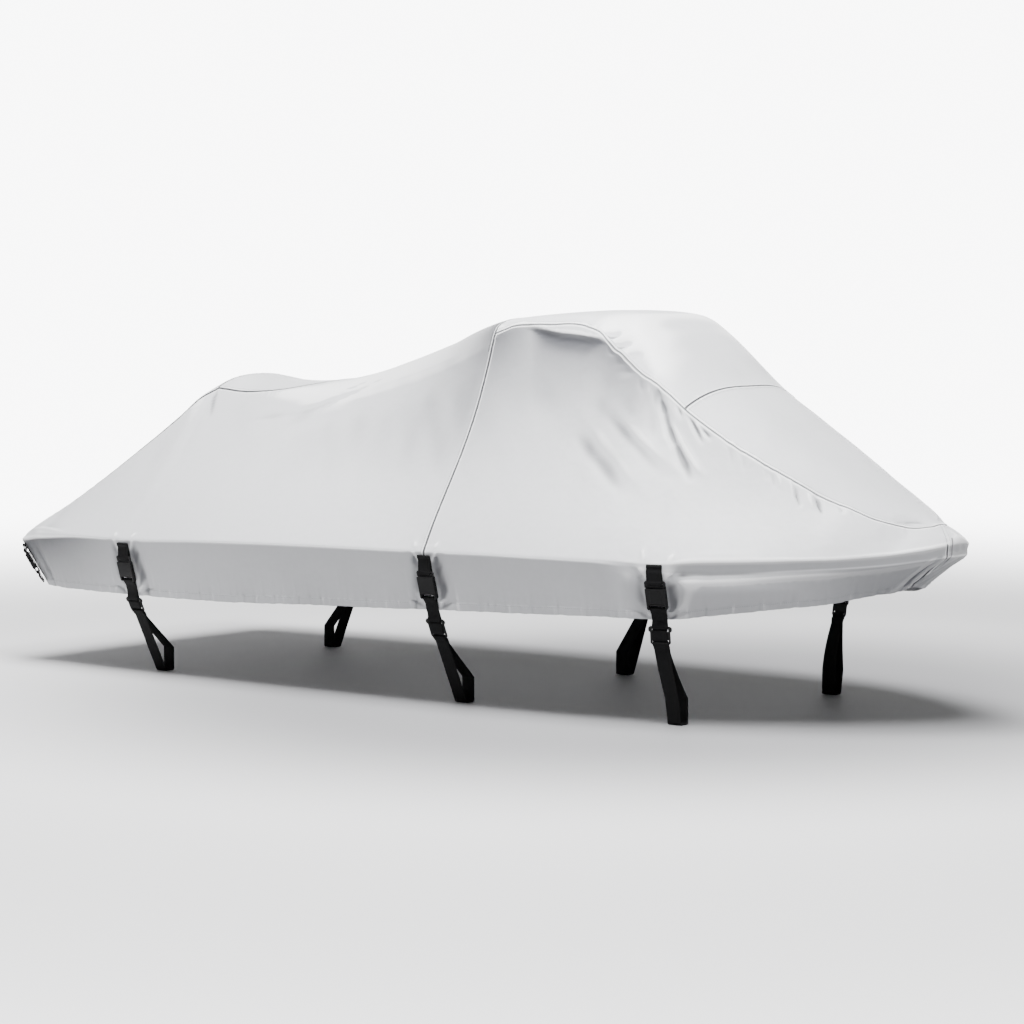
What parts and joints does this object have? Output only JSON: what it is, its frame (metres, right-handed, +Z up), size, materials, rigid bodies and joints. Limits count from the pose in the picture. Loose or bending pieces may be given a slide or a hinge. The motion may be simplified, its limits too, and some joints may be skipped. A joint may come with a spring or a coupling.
{
  "type": "personal watercraft cover",
  "caption": "Fitted cloth cover for a three-seat personal watercraft, sewn from shaped panels, with webbing straps and buckles that loop round a trailer's rails.",
  "frame": {"origin": "under the top of the cover, at its highest point over the console, on the centreline", "axes": "+X towards the bow, +Y to port, +Z up"},
  "size_m": [3.2168, 1.2192, 1.1705],
  "materials": {
    "silver_polyester": "coated woven polyester, matt with a faint sheen",
    "black_webbing": "woven, matt",
    "black_plastic": "satin moulded"
  },
  "bodies": {
    "root": {"seat_panel": "silver_polyester", "hood_upper": "silver_polyester", "hood_lower": "silver_polyester", "stern_panel": "silver_polyester", "side_rear_starboard": "silver_polyester", "side_rear_port": "silver_polyester", "side_front_starboard": "silver_polyester", "side_front_port": "silver_polyester", "aft_starboard_top_loop": "black_webbing", "aft_starboard_buckle_male": "black_plastic", "aft_starboard_buckle_female": "black_plastic", "aft_starboard_link": "black_webbing", "aft_starboard_slider": "black_plastic", "aft_starboard_rail_loop": "black_webbing", "aft_port_top_loop": "black_webbing", "aft_port_buckle_male": "black_plastic", "aft_port_buckle_female": "black_plastic", "aft_port_link": "black_webbing", "aft_port_slider": "black_plastic", "aft_port_rail_loop": "black_webbing", "middle_starboard_top_loop": "black_webbing", "middle_starboard_buckle_male": "black_plastic", "middle_starboard_buckle_female": "black_plastic", "middle_starboard_link": "black_webbing", "middle_starboard_slider": "black_plastic", "middle_starboard_rail_loop": "black_webbing", "middle_port_top_loop": "black_webbing", "middle_port_buckle_male": "black_plastic", "middle_port_buckle_female": "black_plastic", "middle_port_link": "black_webbing", "middle_port_slider": "black_plastic", "middle_port_rail_loop": "black_webbing", "fore_starboard_top_loop": "black_webbing", "fore_starboard_buckle_male": "black_plastic", "fore_starboard_buckle_female": "black_plastic", "fore_starboard_link": "black_webbing", "fore_starboard_slider": "black_plastic", "fore_starboard_rail_loop": "black_webbing", "fore_port_top_loop": "black_webbing", "fore_port_buckle_male": "black_plastic", "fore_port_buckle_female": "black_plastic", "fore_port_link": "black_webbing", "fore_port_slider": "black_plastic", "fore_port_rail_loop": "black_webbing", "stern_starboard_top_loop": "black_webbing", "stern_starboard_buckle_male": "black_plastic", "stern_starboard_buckle_female": "black_plastic", "stern_starboard_link": "black_webbing", "stern_starboard_slider": "black_plastic", "stern_port_top_loop": "black_webbing", "stern_port_buckle_male": "black_plastic", "stern_port_buckle_female": "black_plastic", "stern_port_link": "black_webbing", "stern_port_slider": "black_plastic"}
  },
  "joints": []
}
